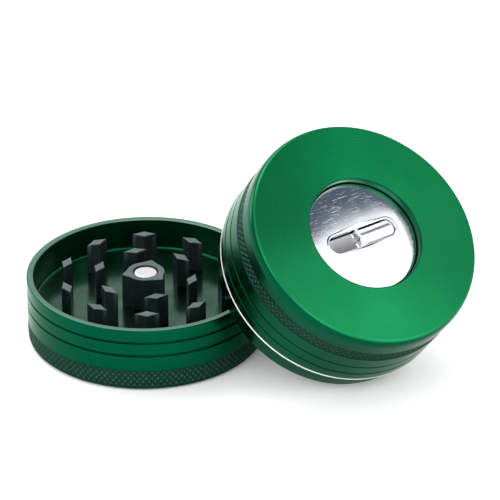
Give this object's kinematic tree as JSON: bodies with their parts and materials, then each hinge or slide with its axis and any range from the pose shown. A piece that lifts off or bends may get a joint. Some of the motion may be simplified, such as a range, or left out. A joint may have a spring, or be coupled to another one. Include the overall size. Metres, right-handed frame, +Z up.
{
  "type": "hand grinder",
  "caption": "Two-part anodised hand grinder: an open toothed tray with a magnet post, and a lid leaning on its rim with a polished cover disc and lifting tab.",
  "frame": {"origin": "centre of the tray's flat foot", "axes": "+Z up along the tray's axis; the lid leans to the +X side, its face turned up and towards -Y"},
  "size_m": [0.1118, 0.0753, 0.0572],
  "materials": {
    "anodised_green": "anodised green aluminium, satin turned face, knurled grip bands",
    "nickel": "bright nickel plate, speckled",
    "nylon_white": "natural white nylon",
    "polished_silver": "polished metal with fine scratches",
    "dull_silver": "plain pressed metal"
  },
  "bodies": {
    "base": {"tray": "anodised_green", "tray_magnet": "nickel"},
    "ring": {"slip_ring": "nylon_white"},
    "lid": {"lid_shell": "anodised_green", "lid_magnet": "nickel"},
    "cover": {"cover_disc": "polished_silver", "tab_cup": "dull_silver", "tab_pin": "nickel"},
    "tab": {"lift_tab": "polished_silver"}
  },
  "joints": [
    {"name": "lid_lift", "type": "slide", "parent": "base", "child": "ring", "axis": [0.371, -0.505, 0.7793], "range_m": [0, 0.04]},
    {"name": "lid_spin", "type": "hinge", "parent": "ring", "child": "lid", "pos_m": [0.04695, -0.00975, 0.02313], "axis": [0.371, -0.505, 0.7793], "continuous": true},
    {"name": "cover_lift", "type": "slide", "parent": "lid", "child": "cover", "axis": [0.371, -0.505, 0.7793], "range_m": [0, 0.025]},
    {"name": "tab_flip", "type": "hinge", "parent": "cover", "child": "tab", "pos_m": [0.05322, -0.01828, 0.03631], "axis": [0.4614, -0.6281, -0.6266], "range_deg": [0, 30]}
  ]
}
